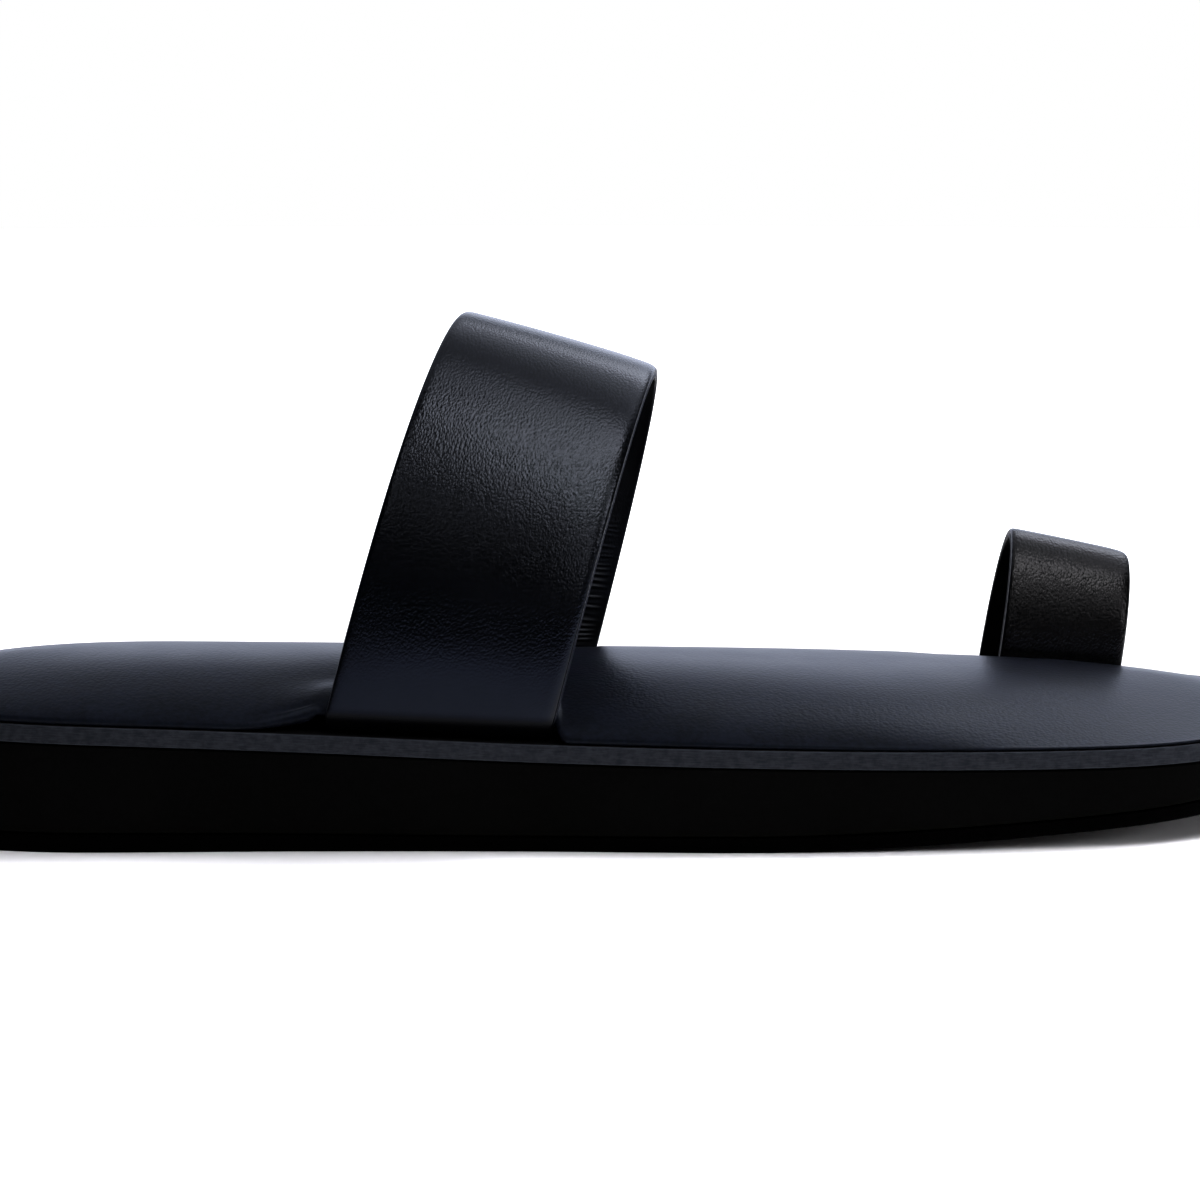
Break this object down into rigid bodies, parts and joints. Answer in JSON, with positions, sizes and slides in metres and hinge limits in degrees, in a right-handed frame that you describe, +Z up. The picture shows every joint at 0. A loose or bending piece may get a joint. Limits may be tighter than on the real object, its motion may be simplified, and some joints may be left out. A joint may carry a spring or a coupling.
{
  "type": "toe loop slide",
  "caption": "Black leather slide sandal with a padded insole, a wide instep strap and a loop for the big toe, on a thick flat sole.",
  "frame": {"origin": "on the floor under the middle of the sole's box", "axes": "+X towards the toe, +Y towards the medial (inner) side, +Z up from the floor"},
  "size_m": [0.26, 0.0916, 0.0912],
  "materials": {
    "outsole_rubber": "matte black rubber sheet",
    "midsole_foam": "matte black closed-cell foam",
    "board_edge": "slate grey, flat burnished edge",
    "pad_leather": "satin slate black leather over foam",
    "strap_leather": "semi-gloss black smooth-grain leather with a leather lining",
    "loop_leather": "semi-gloss black smooth-grain leather with a leather lining"
  },
  "bodies": {
    "root": {"outsole": "outsole_rubber", "midsole": "midsole_foam", "insole_board": "board_edge", "insole_pad": "pad_leather", "instep_strap": "strap_leather", "toe_loop": "loop_leather"}
  },
  "joints": []
}
